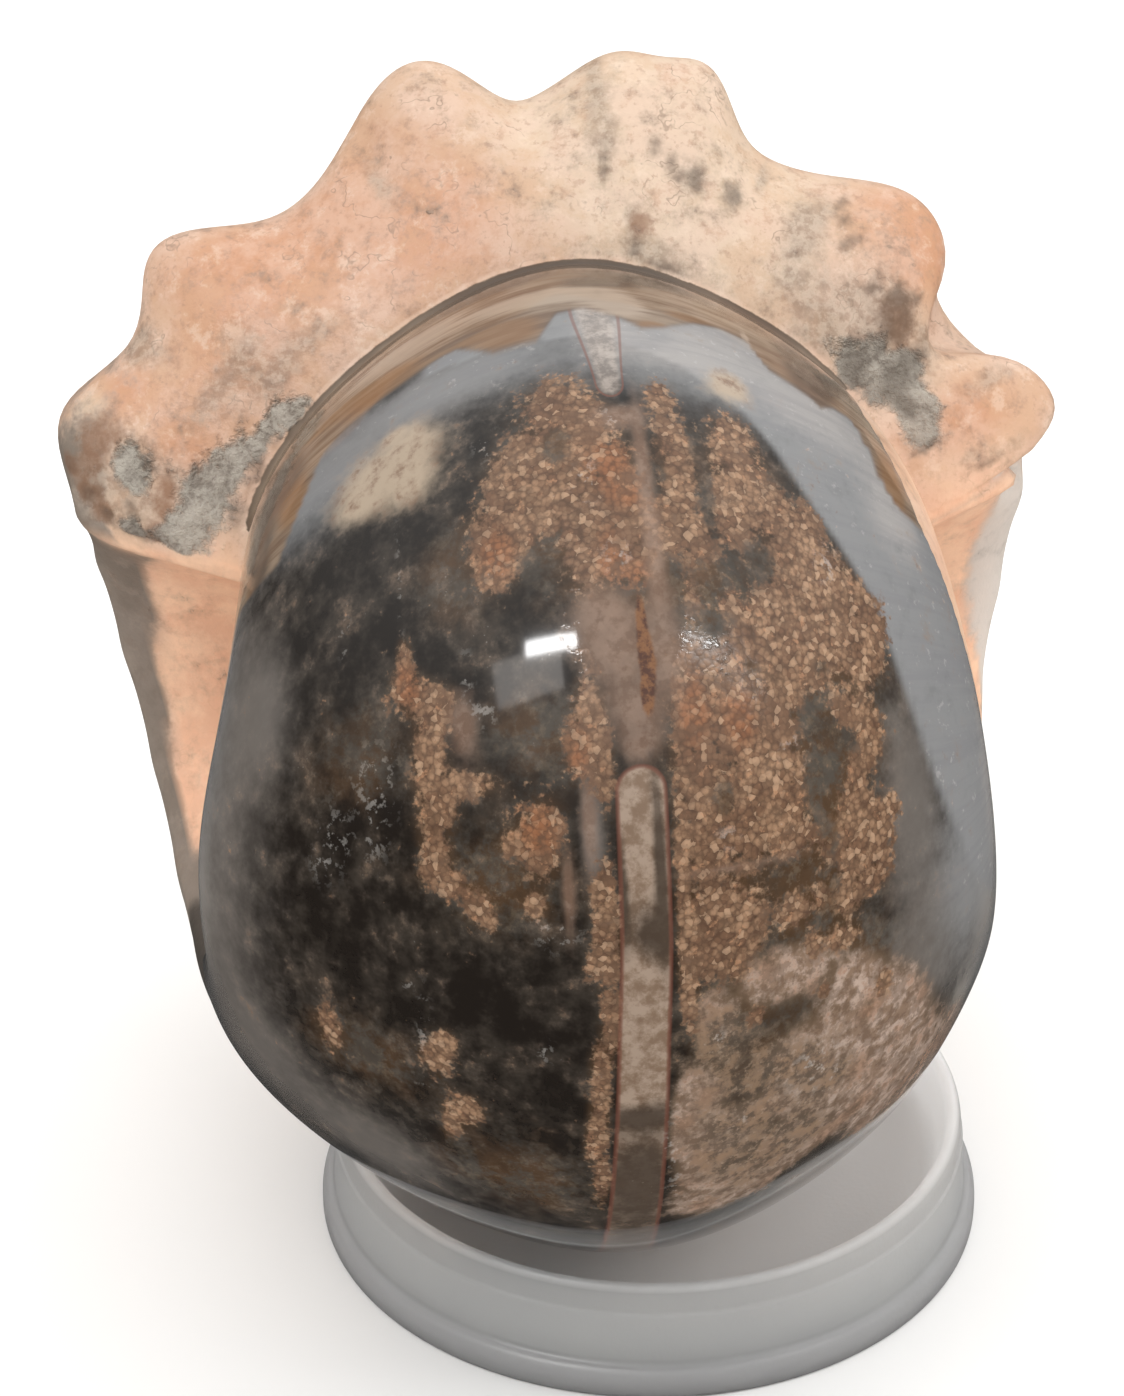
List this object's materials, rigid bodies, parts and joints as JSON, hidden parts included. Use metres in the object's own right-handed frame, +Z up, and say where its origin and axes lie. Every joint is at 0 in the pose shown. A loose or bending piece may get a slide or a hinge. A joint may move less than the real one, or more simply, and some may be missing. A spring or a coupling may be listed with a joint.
{
  "type": "fossil ammonite on a display stand",
  "caption": "Ground and polished knobbed fossil ammonite standing on edge in a shallow round frosted plastic display stand.",
  "frame": {"origin": "middle of the stand's flat underside", "axes": "+Z up out of the stand; -Y towards the viewer, where the polished dark front of the coil is; the coil's axis lies along X"},
  "size_m": [0.0698, 0.077, 0.0832],
  "materials": {
    "fossil_stone": "polished limestone and dark calcite, glossy",
    "frosted_plastic": "translucent frosted plastic, soft sheen"
  },
  "bodies": {
    "root": {"ammonite": "fossil_stone", "display_stand": "frosted_plastic"}
  },
  "joints": []
}
